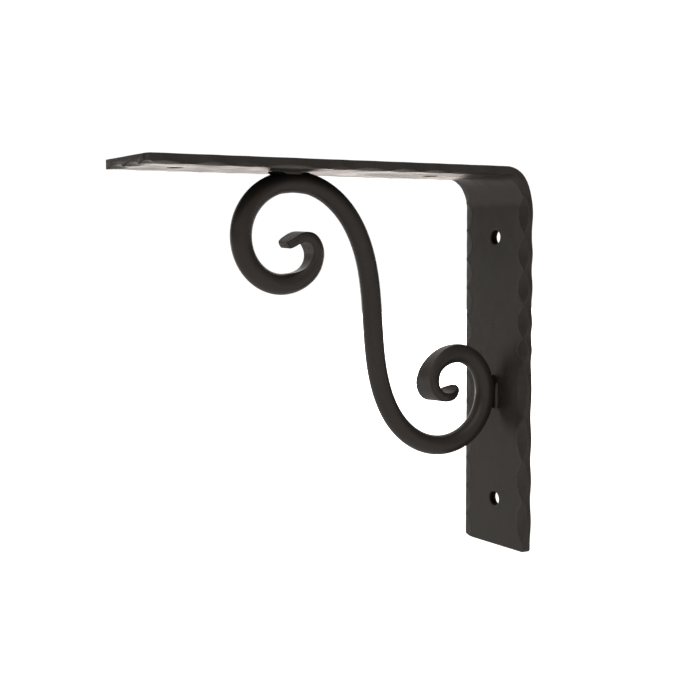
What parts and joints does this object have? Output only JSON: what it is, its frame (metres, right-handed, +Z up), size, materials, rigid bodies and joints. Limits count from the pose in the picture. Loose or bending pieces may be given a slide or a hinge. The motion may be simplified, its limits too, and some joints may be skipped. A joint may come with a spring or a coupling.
{
  "type": "mantel bracket",
  "caption": "Forged iron shelf bracket: a hammered flat bar bent into an L, with a round-bar S-scroll welded into its corner.",
  "frame": {"origin": "back face of the wall leg, on its middle line, midway between its two screw holes", "axes": "+Y out of the back face, into the wall; the shelf arm runs along -Y; +Z up; X across the bar"},
  "size_m": [0.0544, 0.2137, 0.203],
  "materials": {
    "black_iron_bar": "satin black over hammered forged iron, faintly brown and mottled, lighter on the hammered edges",
    "black_iron_scroll": "satin black over forged round bar, smoother than the flat bar"
  },
  "bodies": {
    "root": {"flat_bar": "black_iron_bar", "scroll": "black_iron_scroll"}
  },
  "joints": []
}
